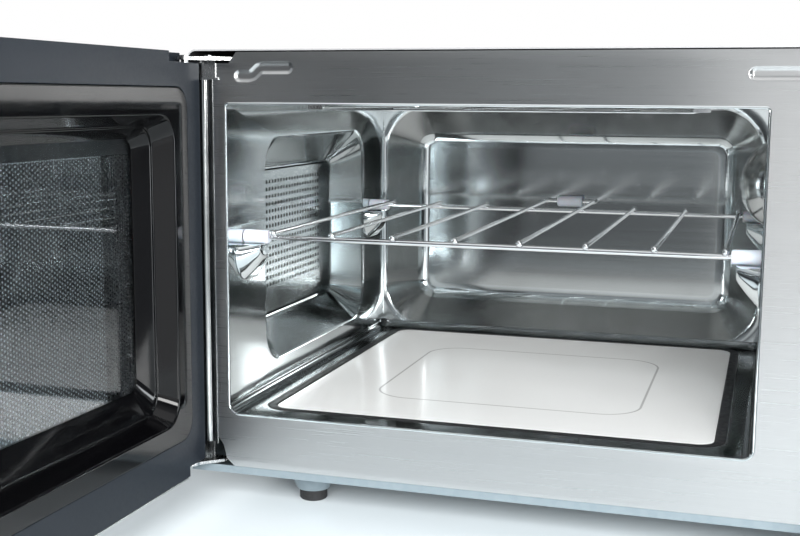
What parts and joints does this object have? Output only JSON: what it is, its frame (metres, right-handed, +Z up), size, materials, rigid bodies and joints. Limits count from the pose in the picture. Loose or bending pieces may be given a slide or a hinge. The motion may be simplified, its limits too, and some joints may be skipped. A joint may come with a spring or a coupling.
{
  "type": "combination microwave oven",
  "caption": "Countertop combination microwave and grill oven with a flat ceramic base, a wire rack on side supports and a side-hinged door with a bar handle, standing open.",
  "frame": {"origin": "on the table under the middle of the oven's box with the door open, the left-right middle and the front-back middle", "axes": "+Z up, +Y from the front towards the back of the oven, +X to the right as the user faces the door"},
  "size_m": [0.5819, 0.7937, 0.304],
  "materials": {
    "casing_paint": "satin silver-grey paint",
    "galvanised_sheet": "plain zinc-coated sheet",
    "pan_sheet": "pale zinc-coated sheet",
    "foot_rubber": "matt moulded rubber",
    "front_stainless": "brushed stainless steel",
    "cavity_stainless": "bright, nearly mirror-like stainless sheet",
    "glass_ceramic": "opaque pale glass-ceramic, smooth",
    "seal_silicone": "black silicone bead",
    "bright_wire": "bright wire",
    "heater_steel": "heat-darkened steel tube",
    "holder_ceramic": "unglazed white ceramic",
    "lamp_body": "bulb and white holder",
    "magnetron_metal": "plated yoke and aluminium fins",
    "transformer_iron": "varnished laminations and windings",
    "capacitor_can": "drawn aluminium can",
    "dark_plastic": "black moulded plastic",
    "motor_iron": "laminated core",
    "blade_plastic": "pale moulded plastic",
    "gearmotor_steel": "plated steel can",
    "antenna_aluminium": "stamped aluminium sheet",
    "white_plastic": "white moulded plastic",
    "panel_plastic": "silver-grey moulded plastic",
    "board": "green circuit board",
    "display_plastic": "black clear-coated plastic",
    "knob_plastic": "metallised plastic",
    "button_plastic": "grey moulded plastic",
    "hinge_steel": "bright plated steel",
    "gland_rubber": "black moulded rubber",
    "screw_steel": "plated steel",
    "door_paint": "dark grey baked paint",
    "choke_plastic": "black glossy plastic",
    "screen_paint": "black-coated perforated sheet",
    "inner_window_glass": "clear thin glass",
    "outer_window_glass": "dark tinted glass",
    "door_steel": "brushed stainless skin",
    "rack_chrome": "chromed wire",
    "sleeve_plastic": "white heat-resistant plastic"
  },
  "bodies": {
    "cabinet": {"outer_casing": "casing_paint", "back_panel": "galvanised_sheet", "waveguide": "galvanised_sheet", "base_pan": "pan_sheet", "rubber_feet": "foot_rubber", "front_frame": "front_stainless", "cavity_left_wall": "cavity_stainless", "cavity_right_wall": "cavity_stainless", "cavity_back_wall": "cavity_stainless", "cavity_ceiling": "cavity_stainless", "cavity_floor": "cavity_stainless", "vent_grille": "cavity_stainless", "ceramic_plate": "glass_ceramic", "plate_seal": "seal_silicone", "grill_guard": "bright_wire", "grill_heater": "heater_steel", "heater_holders": "holder_ceramic", "cavity_lamp": "lamp_body", "magnetron": "magnetron_metal", "transformer": "transformer_iron", "capacitor": "capacitor_can", "fan_shroud": "dark_plastic", "interlock_switches": "dark_plastic", "fan_motor": "motor_iron", "stirrer_motor": "gearmotor_steel", "latch_housing": "white_plastic", "control_panel": "panel_plastic", "control_board": "board", "display_window": "display_plastic", "upper_hinge": "hinge_steel", "lower_hinge": "hinge_steel", "mains_inlet": "gland_rubber", "casing_screws": "screw_steel"},
    "door": {"door_frame": "door_paint", "choke_cover": "choke_plastic", "window_screen": "screen_paint", "inner_glass": "inner_window_glass", "door_skin": "door_steel", "outer_glass": "outer_window_glass", "door_handle": "door_steel", "hinge_bushes": "white_plastic"},
    "latch": {"latch_hooks": "white_plastic"},
    "rack": {"rack_wires": "rack_chrome", "rack_sleeves": "sleeve_plastic"},
    "fan": {"fan_blade": "blade_plastic"},
    "stirrer": {"stirrer": "antenna_aluminium"},
    "knob": {"selector_knob": "knob_plastic"},
    "button_1": {"button_1": "button_plastic"},
    "button_2": {"button_2": "button_plastic"},
    "button_3": {"button_3": "button_plastic"},
    "button_4": {"button_4": "button_plastic"},
    "button_5": {"button_5": "button_plastic"},
    "button_6": {"button_6": "button_plastic"}
  },
  "joints": [
    {"name": "door_hinge", "type": "hinge", "parent": "cabinet", "child": "door", "pos_m": [-0.2206, -0.00265, 0.166], "axis": [0, 0, 1], "range_deg": [-25, 91]},
    {"name": "latch_slide", "type": "slide", "parent": "door", "child": "latch", "axis": [0, 0, 1], "range_m": [0, 0.005], "stiffness_N_per_m": 300},
    {"name": "rack_slide", "type": "slide", "parent": "cabinet", "child": "rack", "axis": [0, 1, 0], "range_m": [-0.3, 0]},
    {"name": "fan_spin", "type": "hinge", "parent": "cabinet", "child": "fan", "pos_m": [0.2166, 0.34585, 0.184], "axis": [0, 1, 0], "continuous": true},
    {"name": "stirrer_spin", "type": "hinge", "parent": "cabinet", "child": "stirrer", "pos_m": [-0.0322, 0.17385, 0.054], "axis": [0, 0, 1], "continuous": true},
    {"name": "knob_turn", "type": "hinge", "parent": "cabinet", "child": "knob", "pos_m": [0.2311, -0.03915, 0.152], "axis": [0, 1, 0], "continuous": true},
    {"name": "button_1_press", "type": "slide", "parent": "cabinet", "child": "button_1", "axis": [0, 1, 0], "range_m": [0, 0.002], "stiffness_N_per_m": 300},
    {"name": "button_2_press", "type": "slide", "parent": "cabinet", "child": "button_2", "axis": [0, 1, 0], "range_m": [0, 0.002], "stiffness_N_per_m": 300},
    {"name": "button_3_press", "type": "slide", "parent": "cabinet", "child": "button_3", "axis": [0, 1, 0], "range_m": [0, 0.002], "stiffness_N_per_m": 300},
    {"name": "button_4_press", "type": "slide", "parent": "cabinet", "child": "button_4", "axis": [0, 1, 0], "range_m": [0, 0.002], "stiffness_N_per_m": 300},
    {"name": "button_5_press", "type": "slide", "parent": "cabinet", "child": "button_5", "axis": [0, 1, 0], "range_m": [0, 0.002], "stiffness_N_per_m": 300},
    {"name": "button_6_press", "type": "slide", "parent": "cabinet", "child": "button_6", "axis": [0, 1, 0], "range_m": [0, 0.002], "stiffness_N_per_m": 300}
  ]
}
